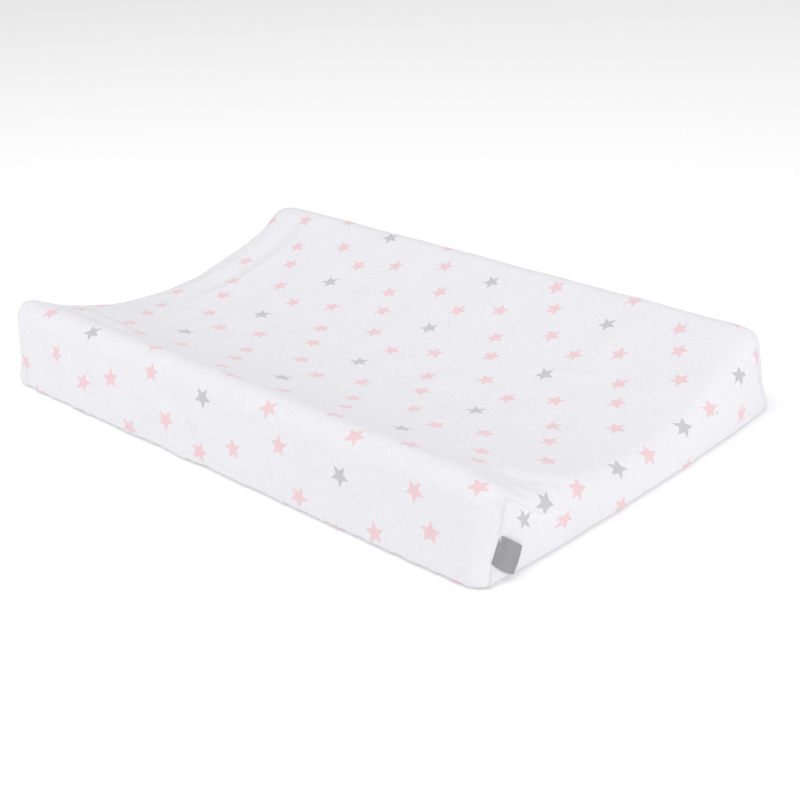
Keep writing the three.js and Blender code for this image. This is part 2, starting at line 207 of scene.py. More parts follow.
def new_group(name, inputs, outputs):
    group = bpy.data.node_groups.new(name, "ShaderNodeTree")
    for label, kind, value in inputs:
        socket = group.interface.new_socket(name=label, in_out="INPUT", socket_type="NodeSocket" + kind)
        if value is not None:
            socket.default_value = value
    for label, kind in outputs:
        group.interface.new_socket(name=label, in_out="OUTPUT", socket_type="NodeSocket" + kind)
    tree = Tree(group)
    entry = tree.nodes.new("NodeGroupInput")
    leave = tree.nodes.new("NodeGroupOutput")
    return group, tree, entry.outputs, leave.inputs


def new_material(name, colour=None, roughness=0.8, metallic=0.0):
    material = bpy.data.materials.new(name)
    material.use_nodes = True
    tree = Tree(material.node_tree)
    shader = tree.nodes["Principled BSDF"]
    if colour:
        shader.inputs["Base Color"].default_value = (*colour, 1.0)
    shader.inputs["Roughness"].default_value = roughness
    shader.inputs["Metallic"].default_value = metallic
    return material, tree, shader


def add_bump(tree, shader, height, strength, distance):
    bump = tree.node("ShaderNodeBump")
    bump.inputs["Strength"].default_value = strength
    bump.inputs["Distance"].default_value = distance
    tree.put(bump.inputs["Height"], height)
    tree.put(shader.inputs["Normal"], bump.outputs["Normal"])


def uv_position(tree, name="cloth"):
    made = tree.nodes.new("ShaderNodeUVMap")
    made.uv_map = name
    return made.outputs["UV"]


# ---- the star print ----

# One repeat of the print, in metres on the flat cloth: two steps of the repeat, and its stars.
REPEAT_ALONG = (0.182, -0.020)
REPEAT_ACROSS = (0.010, 0.098)
FIRST_GREY_STAR = (-0.002, -0.014)
STAR_REACH = 0.0112
STAR_WAIST = 0.0050
PINK_STARS = (                 # place from the grey star, and turn in degrees
    ((0.007, 0.041), 8),
    ((0.085, 0.015), -14),
    ((0.105, -0.016), 20),
    ((0.143, 0.041), -4),
    ((0.054, 0.059), 32),
)
GREY_TURN = -10
PINK_INK = (0.82, 0.585, 0.610, 1.0)
GREY_INK = (0.545, 0.545, 0.555, 1.0)


def star_group():
    """Mask of one star of a repeating print: Cloth is the place on the cloth, Place the star's own."""
    group, tree, given, out = new_group(
        "printed star",
        [("Cloth", "Vector", None), ("Place", "Vector", None), ("Turn", "Float", 0.0)],
        [("Mask", "Float")])
    along, across = Vector(REPEAT_ALONG), Vector(REPEAT_ACROSS)
    area = along.x * across.y - along.y * across.x
    offset = tree.vector("SUBTRACT", given["Cloth"], given["Place"])
    p = tree.vector("DOT_PRODUCT", offset, (across.y / area, -across.x / area, 0.0))
    q = tree.vector("DOT_PRODUCT", offset, (-along.y / area, along.x / area, 0.0))
    p_near = tree.math("SUBTRACT", p, tree.math("ROUND", p))
    q_near = tree.math("SUBTRACT", q, tree.math("ROUND", q))
    x = tree.math("ADD", tree.math("MULTIPLY", p_near, along.x), tree.math("MULTIPLY", q_near, across.x))
    y = tree.math("ADD", tree.math("MULTIPLY", p_near, along.y), tree.math("MULTIPLY", q_near, across.y))
    reach = tree.vector("LENGTH", tree.join(x, y))
    angle = tree.math("SUBTRACT", tree.math("ARCTAN2", y, x), given["Turn"])
    point = 2 * math.pi / 5
    folded = tree.math("ABSOLUTE", tree.math("SUBTRACT", tree.math(
        "FLOORED_MODULO", tree.math("ADD", angle, point / 2), point), point / 2))
    fold_x = tree.math("MULTIPLY", reach, tree.math("COSINE", folded))
    fold_y = tree.math("MULTIPLY", reach, tree.math("SINE", folded))
    notch_x = STAR_WAIST * math.cos(point / 2)
    notch_y = STAR_WAIST * math.sin(point / 2)
    edge = math.hypot(notch_y, STAR_REACH - notch_x)
    outside = tree.math(
        "ADD",
        tree.math("MULTIPLY", tree.math("SUBTRACT", fold_x, STAR_REACH), notch_y / edge),
        tree.math("MULTIPLY", fold_y, (STAR_REACH - notch_x) / edge))
    tree.put(out["Mask"], tree.smooth(outside, -0.0004, 0.0004, 1.0, 0.0))
    return group


def jersey_group():
    """Brushed cotton jersey: Height of its ribs, nap and creases, and Shade, a faint mottling."""
    group, tree, given, out = new_group(
        "brushed jersey", [("Cloth", "Vector", None), ("Nap", "Float", 1.0)],
        [("Height", "Float"), ("Shade", "Float")])
    cloth = given["Cloth"]
    fuzz = tree.noise(cloth, 900.0, 3.0, 0.65)
    pills = tree.noise(cloth, 260.0, 3.0, 0.6)
    creases = tree.noise(cloth, 60.0, 2.0, 0.5)
    wales = tree.node("ShaderNodeTexWave", wave_type="BANDS", bands_direction="X")
    tree.put(wales.inputs["Vector"], cloth)
    wales.inputs["Scale"].default_value = 260.0
    wales.inputs["Distortion"].default_value = 1.2
    nap = tree.math("ADD", tree.math("MULTIPLY", fuzz, 0.5), tree.math("MULTIPLY", pills, 0.9))
    nap = tree.math("MULTIPLY", nap, given["Nap"])
    height = tree.math("ADD", nap, tree.math("MULTIPLY", creases, 1.3))
    height = tree.math("ADD", height, tree.math("MULTIPLY", wales.outputs["Fac"], 0.12))
    tree.put(out["Height"], height)
    tree.put(out["Shade"], tree.smooth(tree.math("ADD", pills, fuzz), 0.7, 1.3))
    return group


def cover_material(jersey):
    star = star_group()
    material, tree, shader = new_material("printed cotton jersey", roughness=0.92)
    cloth = uv_position(tree)
    knit = tree.group(jersey, Cloth=cloth, Nap=1.0)
    first = Vector(FIRST_GREY_STAR)
    grey = tree.group(star, Cloth=cloth, Place=(first.x, first.y, 0.0), Turn=math.radians(GREY_TURN))["Mask"]
    pink = None
    for place, turn in PINK_STARS:
        spot = first + Vector(place)
        mask = tree.group(star, Cloth=cloth, Place=(spot.x, spot.y, 0.0), Turn=math.radians(turn))["Mask"]
        pink = mask if pink is None else tree.math("MAXIMUM", pink, mask)
    ground = tree.mix(knit["Shade"], (0.76, 0.755, 0.79, 1.0), (0.82, 0.815, 0.85, 1.0))
    worn = tree.smooth(tree.noise(cloth, 1400.0, 2.0), 0.25, 0.45, 0.72, 1.0)
    inked = tree.mix(tree.math("MULTIPLY", pink, worn), ground, PINK_INK)
    inked = tree.mix(tree.math("MULTIPLY", grey, worn), inked, GREY_INK)
    tree.put(shader.inputs["Base Color"], inked)
    shader.inputs["Specular IOR Level"].default_value = 0.15
    shader.inputs["Sheen Weight"].default_value = 0.25
    shader.inputs["Sheen Roughness"].default_value = 0.6
    add_bump(tree, shader, knit["Height"], 0.55, 0.0012)
    return material


# ---- the pad's skin, from which the cloth pieces are cut ----

def section(s, depth):
    """Points and normals (y, z, ny, nz) of the pad's section at distances s over the cloth."""
    side = np.where(s < 0, -1.0, 1.0)
    run = np.abs(s)
    trough = run / TROUGH_RADIUS
    ridge = math.pi / 2 + TROUGH_ANGLE - (run - S_TROUGH) / RIDGE_RADIUS
    down = run - S_WALL
    in_trough = run < S_TROUGH
    on_wall = run >= S_WALL
    y = np.where(in_trough, TROUGH_RADIUS * np.sin(trough), RIDGE_Y + RIDGE_RADIUS * np.cos(ridge))
    z = np.where(in_trough, TROUGH_Z - TROUGH_RADIUS * np.cos(trough), RIDGE_Z + RIDGE_RADIUS * np.sin(ridge))
    ny = np.where(in_trough, -np.sin(trough), np.cos(ridge))
    nz = np.where(in_trough, np.cos(trough), np.sin(ridge))
    wall_y = RIDGE_Y + RIDGE_RADIUS * math.cos(LEAN) + down * math.sin(LEAN)
    y = np.where(on_wall, wall_y, y)
    z = np.where(on_wall, WALL_TOP - down * math.cos(LEAN), z)
    ny = np.where(on_wall, math.cos(LEAN), ny)
    nz = np.where(on_wall, math.sin(LEAN), nz)
    return side * (y - depth * ny), z - depth * nz, side * ny, nz


def skin(a, s, depth):
    """Skin points and normals at distances a along and s across the cloth, turning over the end edges."""
    y, z, ny, nz = section(s, depth)
    over = np.clip((np.abs(a) - CORE_HALF) / END_RADIUS, 0, math.pi / 2)
    end = np.sign(a)
    round_to = END_RADIUS - depth
    inset = round_to * (1 - np.cos(over))
    x = end * (np.minimum(np.abs(a), CORE_HALF) + round_to * np.sin(over))
    points = np.stack([x, y - ny * inset, z - nz * inset], -1)
    normals = np.stack([end * np.sin(over), ny * np.cos(over), nz * np.cos(over)], -1)
    return points, normals


def spaced(start, stop, step):
    return np.linspace(start, stop, max(2, round(abs(stop - start) / step) + 1))


def end_face(top, side_a, side_b, base_z):
    """Inner points of an end face: columns hang from the top edge and fan out to follow the side edges."""
    rows = len(side_a)
    corner = top[0]
    made = np.zeros((rows, len(top), 3))
    for m in range(rows):
        fall = (corner[2] - side_a[m][2]) / (corner[2] - base_z)
        spread = side_a[m][1] / corner[1]
        made[m, :, 0] = top[:, 0]
        made[m, :, 1] = top[:, 1] * spread
        made[m, :, 2] = top[:, 2] + (base_z - top[:, 2]) * fall
    made[:, 0] = side_a
    made[:, -1] = side_b
    return made


class Cloth:
    """Points, faces and flat-cloth places of one cloth piece."""

    def __init__(self):
        self.points = np.zeros((0, 3))
        self.normals = np.zeros((0, 3))
        self.home = np.zeros((0, 2))
        self.faces = []
        self.flat = []
        self.sheet = None      # indexes of the main grid: rows across the pad, columns along it

    def add(self, points, normals, home):
        start = len(self.points)
        self.points = np.concatenate([self.points, points.reshape(-1, 3)])
        self.normals = np.concatenate([self.normals, np.broadcast_to(normals, points.shape).reshape(-1, 3)])
        self.home = np.concatenate([self.home, home.reshape(-1, 2)])
        return start + np.arange(points[..., 0].size).reshape(points.shape[:-1])

    def quads(self, index, flat, flip=False):
        corners = [(0, 0), (0, 1), (1, 1), (1, 0)]
        if flip:
            corners.reverse()
        rows, columns = index.shape
        for grid, kept, size in ((index, self.faces, (-1, 4)), (flat, self.flat, (-1, 4, 2))):
            picked = np.stack([grid[r:rows - 1 + r, c:columns - 1 + c] for r, c in corners], 2)
            kept.append(picked.reshape(size))


def make_mesh(name, points, faces, flat=None, material=None):
    mesh = bpy.data.meshes.new(name)
    mesh.vertices.add(len(points))
    mesh.vertices.foreach_set("co", np.asarray(points, dtype=np.float32).ravel())
    mesh.loops.add(faces.size)
    mesh.loops.foreach_set("vertex_index", faces.astype(np.int32).ravel())
    mesh.polygons.add(len(faces))
    mesh.polygons.foreach_set("loop_start", np.arange(len(faces), dtype=np.int32) * faces.shape[1])
    mesh.polygons.foreach_set("use_smooth", np.full(len(faces), True))
    mesh.update(calc_edges=True)
    if flat is not None:
        layer = mesh.uv_layers.new(name="cloth")
        layer.data.foreach_set("uv", flat.astype(np.float32).ravel())
    piece = bpy.data.objects.new(name, mesh)
    bpy.context.collection.objects.link(piece)
    mesh.materials.append(material)
    return piece


def cloth_mesh(name, cloth, material, places=None):
    flat = np.concatenate(cloth.flat)
    if places:
        flat = places(flat)
    return make_mesh(name, cloth.points, np.concatenate(cloth.faces), flat, material)


def grid_mesh(name, points, flat, material, flip=False):
    cloth = Cloth()
    index = cloth.add(points, np.array((0.0, 0.0, 1.0)), flat)
    cloth.quads(index, flat, flip)
    return cloth_mesh(name, cloth, material)


def apply_modifier(piece, name, kind, **settings):
    modifier = piece.modifiers.new(name, kind)
    for key, value in settings.items():
        setattr(modifier, key, value)
    bpy.ops.object.select_all(action="DESELECT")
    bpy.context.view_layer.objects.active = piece
    piece.select_set(True)
    bpy.ops.object.modifier_apply(modifier=modifier.name)
    piece.select_set(False)


def thicken(piece, thickness, offset=-1.0):
    apply_modifier(piece, "thickness", "SOLIDIFY", thickness=thickness, offset=offset, use_even_offset=False)


def wrap_skin(depth, step, foot):
    """Cloth over the whole pad, down to distance foot across the section, and the loop of its lower edge."""
    half = spaced(S_CREST, foot, step)[1:]
    across = np.concatenate([-half[::-1], spaced(-S_CREST, S_CREST, step), half])
    rows_down = len(half)
    over = CORE_HALF + END_RADIUS * np.linspace(0, math.pi / 2, 9)[1:]
    along = np.concatenate([-over[::-1], spaced(-CORE_HALF, CORE_HALF, step), over])
    a, s = np.meshgrid(along, across)
    home = np.stack([a, s], -1)
    cloth = Cloth()
    main = cloth.add(*skin(a, s, depth), home)
    cloth.sheet = main
    cloth.quads(main, home)
    first, last = rows_down, len(across) - rows_down - 1
    ends = {}
    for column, end in ((0, -1.0), (-1, 1.0)):
        edge = cloth.points[main[:, column]]
        top, side_a, side_b = edge[first:last + 1], edge[first::-1], edge[last:]
        face = end_face(top, side_a, side_b, side_a[-1][2])
        flat = np.zeros(face.shape[:2] + (2,))
        flat[..., 0] = end * (A_END + face[0, :, 2] - face[..., 2])
        flat[..., 1] = across[first:last + 1]
        index = np.zeros(face.shape[:2], dtype=int)
        index[1:, 1:-1] = cloth.add(face[1:, 1:-1], np.array((end, 0.0, 0.0)), flat[1:, 1:-1])
        index[0] = main[first:last + 1, column]
        index[:, 0] = main[first::-1, column]
        index[:, -1] = main[last:, column]
        cloth.quads(index, flat, flip=end > 0)
        ends[end] = (index[-1], flat[-1])
    left_index, left_flat = ends[-1.0]
    loop = [(main[0], home[0], (0.0, -1.0)), (*ends[1.0], (1.0, 0.0)),
            (main[-1][::-1], home[-1][::-1], (0.0, 1.0)), (left_index[::-1], left_flat[::-1], (-1.0, 0.0))]
    return cloth, loop


def ramp(value, low, high):
    t = np.clip((value - low) / (high - low), 0.0, 1.0)
    return t * t * (3 - 2 * t)


END_BELLY = 0.0075             # how far the end faces bulge
CORNER_TUCK = 0.004            # how far they draw in at the foot of the corners
FRONT_FLARE = 0.009            # how far the left end's ridges reach out, at the front and at the back
BACK_FLARE = 0.006
DENT = 0.010                   # beside the labelled corner
DENT_Y = -0.146
CORNER_Y = 0.200               # where the corners' own shape is strongest
CORNER_REACH = 0.030
CORNER_SLIDE = 0.008           # how far an upright corner is moved inwards above its foot,
FOOT_SLIDE = 0.004             # and its foot outwards


def bell(value, middle, reach):
    """1 at the middle, falling off smoothly to each side."""
    return np.exp(-((value - middle) / reach) ** 2)


def settle(points):
    """Move points of the drawn skin: bulging ends, and flared, rounded and dented corners."""
    x, y, z = points.T
    end = ramp(np.abs(x), CORE_HALF - 0.03, HALF_LENGTH)
    across = y / BASE_HALF_WIDTH
    high = ramp(z, 0.02, 0.075)
    out = END_BELLY * (1 - across ** 2) - CORNER_TUCK * np.abs(across) ** 8 * (1 - z / RIDGE_TOP)
    at_front = bell(y, -CORNER_Y, CORNER_REACH)
    at_back = bell(y, CORNER_Y, CORNER_REACH)
    out = out + np.where(x < 0, high * (FRONT_FLARE * at_front + BACK_FLARE * at_back), 0.0)
    dent_shape = np.exp(-((x - HALF_LENGTH) / 0.045) ** 2 - ((y - DENT_Y) / CORNER_REACH) ** 2)
    dent = DENT * dent_shape * ramp(z, 0.010, 0.045)
    corner = ramp(np.abs(x), HALF_LENGTH - 0.012, HALF_LENGTH - 0.001) * (at_front + at_back)
    slide = corner * (CORNER_SLIDE * ramp(z, 0.008, 0.040) - FOOT_SLIDE * (1 - ramp(z, 0.0, 0.016)))
    moved = points.copy()
    moved[:, 0] += np.sign(x) * end * out
    moved[:, 1] -= np.sign(y) * slide
    moved[:, 2] -= dent
    return moved


def soften(cloth, rounds=14):
    """Relaxes cloth round the four upright corners, which leaves them rounded and without a hard edge."""
    x, y, z = np.abs(cloth.points).T
    weight = ramp(x, HALF_LENGTH - 0.055, HALF_LENGTH - 0.020) * ramp(y, 0.110, 0.165) * ramp(z, 0.007, 0.020)
    faces = np.concatenate(cloth.faces)
    moving = faces[(weight[faces] > 0).any(1)]
    edges = np.concatenate([moving[:, [k, (k + 1) % 4]] for k in range(4)])
    edges = np.unique(np.concatenate([edges, edges[:, ::-1]]), axis=0)
    count = np.bincount(edges[:, 0], minlength=len(x))
    for _ in range(rounds):
        others = cloth.points[edges[:, 1]]
        total = np.stack([np.bincount(edges[:, 0], others[:, k], len(x)) for k in range(3)], -1)
        mean = total / np.maximum(count, 1)[:, None]
        cloth.points = cloth.points + 0.6 * weight[:, None] * (mean - cloth.points)


# ---- folds of the cover ----

# Families of folds, in round numbers: the first fold's two ends on the cloth, the step to the next fold,
# how many there are, their half width and their height. Neighbours alternate between valley and crest.
FOLD_FAMILIES = (
    ((-0.30, -0.24), (-0.24, -0.30), (0.04, 0.0), 7, 0.008, -0.0020),    # drag folds, left of the front wall
    ((-0.32, 0.18), (-0.33, -0.03), (0.02, 0.0), 3, 0.005, 0.0014),      # tension folds along the left end
    ((-0.33, -0.12), (-0.20, -0.14), (0.0, -0.02), 3, 0.005, -0.0013),   # inside of the front ridge
    ((0.15, 0.07), (0.25, 0.09), (0.0, -0.015), 2, 0.005, 0.0009),       # soft creases, right of the trough
    ((0.22, 0.09), (0.29, -0.03), (0.03, -0.06), 3, 0.008, 0.0010),
    ((0.30, -0.15), (0.35, -0.10), (0.015, -0.025), 2, 0.007, -0.0017),  # dimple beside the labelled corner
)


def fold_paths():
    for start, stop, step, count, width, height in FOLD_FAMILIES:
        for k in range(count):
            shift = k * np.array(step)
            yield (np.array(start) + shift, np.array(stop) + shift), width, height * (-1) ** k


FOLD_DEPTH = 1.4               # all the folds' heights are scaled by this


def fold_height(home, path, width, height):
    nearest = np.full(len(home), 1.0)
    progress = np.zeros(len(home))
    for k, (start, stop) in enumerate(zip(path[:-1], path[1:])):
        start, step = np.array(start), np.array(stop) - np.array(start)
        t = np.clip((home - start) @ step / (step @ step), 0, 1)
        away = np.linalg.norm(home - start - t[:, None] * step, axis=1)
        closer = away < nearest
        nearest = np.where(closer, away, nearest)
        progress = np.where(closer, (k + t) / (len(path) - 1), progress)
    return FOLD_DEPTH * height * bell(nearest, 0.0, width) * np.sin(math.pi * progress) ** 0.6


def crumple(home, seed, wavelength, count):
    """Soft, unrepeating ups and downs about one wavelength apart, from -1 to 1."""
    draw = np.random.RandomState(seed)
    total = np.zeros(len(home))
    for _ in range(count):
        heading = draw.uniform(0, math.pi)
        size = 2 * math.pi / (wavelength * draw.uniform(0.7, 1.5))
        start = draw.uniform(0, 2 * math.pi)
        total += np.sin(size * (home @ np.array((math.cos(heading), math.sin(heading)))) + start)
    return total / math.sqrt(count)


def cover_height(home):
    """How far the cover stands proud of the pad, at each place on its cloth."""
    height = sum(fold_height(home, *fold) for fold in fold_paths())
    slow = crumple(home, 5, 0.070, 14)
    veins = 1 - np.abs(crumple(home, 11, 0.045, 12))
    fine = crumple(home, 23, 0.017, 16)
    height = height + 0.00040 * slow + 0.00028 * veins * ramp(slow, -0.6, 1.2) + 0.00010 * fine
    a, down = home[:, 0], -home[:, 1]
    # The folded cloth on the left of the front wall stands clear of the zip below it.
    loose = ramp(down, 0.232, 0.258) * (1 - ramp(down, 0.286, 0.304)) * ramp(-a, -0.030, 0.060) * (
        1 - ramp(-a, 0.300, 0.345))
    height = height + 0.0024 * loose
    foot = ramp(np.abs(home[:, 1]), S_FOOT - 0.030, S_FOOT)
    gathers = np.sin(home[:, 0] * 2 * math.pi / 0.024 + 1.5 * crumple(home, 31, 0.090, 6))
    return height + 0.0005 * foot * gathers * (0.4 + 0.6 * np.abs(home[:, 0]) / HALF_LENGTH)


# How the print is drawn out of line, in round numbers. The reaches are where the full amounts hold.
REACH_ALONG = 0.30
REACH_ACROSS = 0.20
ROW_BOW = 0.015                # rows of stars bow to the front towards both ends
SIDE_SPREAD = 0.015            # and are drawn apart towards both ridges
ROW_SKEW = 0.015               # rows lean along the pad from one ridge to the other
WALL_SHIFT = (-0.010, 0.020)   # the front wall's print against the top's own
WALL_STRETCH = -0.020          # and how much farther along it is at the right end


def top_drift(along, across):
    shift_a = ROW_BOW * along ** 2 - SIDE_SPREAD * across ** 2 + ROW_SKEW * along * across
    shift_s = SIDE_SPREAD * across ** 2 - ROW_BOW * along ** 2
    return np.stack([shift_a, shift_s], -1)


def front_drift(along):
    return np.stack([WALL_SHIFT[0] + WALL_STRETCH * along, WALL_SHIFT[1] + 0 * along], -1)


# The right end face's print is set apart from the top's and cut along the face's edge. It is a
# device for placing the stars, not how cloth would run.
END_SHIFT = (-0.012, 0.026)
END_SPREAD = (0.030, 0.070)    # shift gained per metre across
EDGE_BEND_S = -0.110           # where the cut bends outwards
PRINT_BEND_S = -0.106          # where the print bends aside
BEND_REACH = 0.028
PLAIN_STEP = 0.091             # bands of the face, shifted along to keep grey stars off it
PLAIN_FIRST = 0.017
PLAIN_HALF = 0.017
PLAIN_SHIFT = 0.035


def end_print(s, middle_a, middle_s):
    """Which faces lie on the end face, and how far their print is shifted."""
    edge = (A_END - 0.001 + 0.003 * bell(middle_s, EDGE_BEND_S, BEND_REACH)
            + 0.012 * ramp(middle_s, 0.100, 0.145) - 0.005 * ramp(-middle_s, 0.142, 0.150))
    from_band = (middle_s - PLAIN_FIRST + PLAIN_STEP / 2) % PLAIN_STEP - PLAIN_STEP / 2
    plain = (np.abs(from_band) < PLAIN_HALF) & (middle_s > -0.086)
    along = END_SHIFT[0] + END_SPREAD[0] * s + PLAIN_SHIFT * plain
    across = END_SHIFT[1] + END_SPREAD[1] * s - 0.020 * bell(s, PRINT_BEND_S, BEND_REACH)
    return np.where(middle_a > edge, 1.0, 0.0), np.stack([along, across], -1)


def on_cloth(flat):
    """The place in the print at each face corner."""
    a, s = flat[..., 0], flat[..., 1]
    along = a / REACH_ALONG
    top = top_drift(np.clip(along, -1.15, 1.15), np.clip(s / REACH_ACROSS, -0.9, 0.9))
    front = front_drift(np.clip(along, -1.15, 1.05))
    wall = ramp(-s, 0.155, 0.205) * (1 - ramp(np.abs(a), A_END - 0.001, A_END + 0.001))
    gathered = ramp(-a, 0.300, 0.350) * (1 - ramp(s, 0.020, 0.180)) * (1 - wall)
    left = np.stack([-0.030 * gathered, 0.014 * gathered], -1)
    middle_a, middle_s = np.moveaxis(flat.mean(-2, keepdims=True), -1, 0)
    foot, right = end_print(s, middle_a, middle_s)
    return flat + top + (front - top) * wall[..., None] + (right - top) * foot[..., None] + left


# ---- cover ----

def loop_points(cloth, loop):
    return np.concatenate([cloth.points[index[:-1]] for index, _, _ in loop])


def loop_inward(ring):
    run = np.roll(ring, -2, 0) - np.roll(ring, 2, 0)
    inward = np.stack([-run[:, 1], run[:, 0], np.zeros(len(ring))], -1)
    return inward / np.linalg.norm(inward, axis=1, keepdims=True)


TURN_RADIUS = 0.0058           # rounding of the cover where it turns under the pad
COVER_UNDERSIDE = 0.0012       # height of the cover's turned-in edge


def turn_under(cloth, loop):
    """Carries the cloth round the foot of the pad and 10 mm in under it."""
    ring = loop_points(cloth, loop)
    inward = loop_inward(ring)
    turns = np.linspace(0, math.pi / 2, 6)[1:]
    profile = [(TURN_RADIUS * (1 - math.cos(t)), -TURN_RADIUS * math.sin(t), TURN_RADIUS * t) for t in turns]
    last = profile[-1]
    profile.append((last[0] + 0.0045, last[1], last[2] + 0.0045))
    rows = []
    for inset, drop, _ in profile:
        row = ring + inward * inset
        row[:, 2] = ring[:, 2] + (ring[:, 2] - COVER_UNDERSIDE) * drop / TURN_RADIUS
        rows.append(cloth.add(row, np.array((0.0, 0.0, -1.0)), np.zeros((len(ring), 2))))
    start = 0
    for index, flat, out in loop:
        count = len(index) - 1
        around = np.arange(start, start + count + 1) % len(ring)
        grid = np.stack([index] + [row[around] for row in rows])
        lengths = np.array([0.0] + [step[2] for step in profile])
        places = flat[None] + lengths[:, None, None] * np.array(out)
        cloth.quads(grid, places, flip=True)
        start += count
    return ring


def add_cover(material):
    cloth, loop = wrap_skin(0.0, 0.0035, S_FOOT)
    cloth.points = settle(cloth.points)
    soften(cloth)
    cloth.points = cloth.points + cloth.normals * cover_height(cloth.home)[:, None]
    foot = turn_under(cloth, loop)
    piece = cloth_mesh("cover_cloth", cloth, material, on_cloth)
    thicken(piece, COVER_CLOTH)
    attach(piece, "cover")
    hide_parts("cover_panel")
    return cloth, foot


def inner_frame(ring, inset):
    """The hem's inner edge under the pad, matched point by point to the outer edge."""
    half = np.array((HALF_LENGTH, BASE_HALF_WIDTH - 0.001))
    corner = half - END_RADIUS
    inner = half - inset - HEM_CORNER
    place = np.abs(ring[:, :2])
    past = np.clip(place - corner, 0, None)
    reach = np.linalg.norm(past, axis=1, keepdims=True)
    heading = past / np.maximum(reach, 1e-6)
    made = np.minimum(place / corner, 1.0) * inner + heading * HEM_CORNER
    return np.sign(ring[:, :2]) * made


def even_ring(ring, count):
    closed = np.concatenate([ring, ring[:1]])
    run = np.concatenate([[0], np.cumsum(np.linalg.norm(np.diff(closed, axis=0), axis=1))])
    at = np.linspace(0, run[-1], count, endpoint=False)
    return np.stack([np.interp(at, run, closed[:, k]) for k in range(3)], -1), at


def ring_mesh(name, rows, places, material, flip=False):
    """A closed band from rows of ring points."""
    grid = np.stack([np.concatenate([row, row[:1]]) for row in rows])
    cloth = Cloth()
    index = cloth.add(grid[:, :-1], np.array((0.0, 0.0, 1.0)), np.zeros(grid[:, :-1].shape[:2] + (2,)))
    index = np.concatenate([index, index[:, :1]], 1)
    cloth.quads(index, places, flip)
    return cloth_mesh(name, cloth, material)


def moved_in(outer, inner, share, height):
    """A copy of a ring, moved a share of the way to the inner one, at a height."""
    row = outer.copy()
    row[:, :2] = outer[:, :2] + (inner - outer[:, :2]) * share
    row[:, 2] = height
    return row


# The hem's profile: share of the way in, height, and how strongly the gathers show.
HEM_PROFILE = (
    (0.17, 0.0021, 0.0), (0.20, 0.0018, 0.0), (0.25, 0.0011, 0.2), (0.33, 0.0009, 0.4),
    (0.42, 0.0009, 0.6), (0.52, 0.0009, 0.8), (0.62, 0.0009, 1.0), (0.72, 0.0009, 1.0),
    (0.80, 0.0009, 1.0), (0.86, 0.0009, 1.0), (0.92, 0.0009, 1.0), (0.975, 0.0011, 0.8),
    (1.0, 0.0022, 0.6), (0.985, 0.0036, 0.6), (0.93, 0.0042, 0.7), (0.87, 0.0043, 0.8),
    (0.82, 0.0038, 0.8), (0.795, 0.0026, 0.5), (0.78, 0.0022, 0.3),
)
GATHER_PITCH = 0.0098


def add_hem(material, thread, elastic_material, foot):
    outer, run = even_ring(foot, 1300)
    inner = inner_frame(outer, HEM_WIDTH)
    draw = np.stack([run * 0.9, np.zeros_like(run)], -1)
    wave = np.sin(run * 2 * math.pi / GATHER_PITCH + 1.8 * crumple(draw, 41, 0.060, 8))
    pleat = crumple(draw, 43, 0.020, 8)
    rows, reach = [], [0.0]
    for share, height, strength in HEM_PROFILE:
        lift = 0.00055 * (1 + wave) + 0.0003 * (1 + np.clip(pleat, -1, 1))
        row = moved_in(outer, inner, share, height + strength * lift * (1.0 if height < 0.003 else 0.3))
        if rows:
            reach.append(reach[-1] + float(np.median(np.linalg.norm(row - rows[-1], axis=1))))
        rows.append(row)
    along = np.concatenate([run, [run[-1] + run[1]]])
    places = np.stack(np.broadcast_arrays(along[None], np.array(reach)[:, None]), -1)
    hem = ring_mesh("hem_cloth", rows, places, material, flip=True)
    thicken(hem, 0.0007, 0.0)
    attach(hem, "cover")
    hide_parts("hem_casing")
    seams = [moved_in(outer, inner, 0.80, 0.00035), moved_in(outer, inner, 0.19, 0.00028)]
    rows_of_thread = [stitches(path, 0.0042, 0.0030, 0.00022) for path in seams]
    seam = join_blocks("hem_stitching", rows_of_thread, thread)
    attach(seam, "cover")
    band = []
    start, stop = 0.845, 0.965
    low, high = 0.0015, 0.0026
    for share, height in ((start, low), (start, high), (stop, high), (stop, low), (start, low)):
        band.append(moved_in(outer, inner, share, height + 0.0001 * wave))
    widths = np.array([0.0, 0.001, 0.007, 0.008, 0.014])
    places = np.stack(np.broadcast_arrays(along[None], widths[:, None]), -1)
    elastic = ring_mesh("elastic_band", band, places, elastic_material)
    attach(elastic, "cover")
    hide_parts("hem_elastic")


# ---- stitches ----

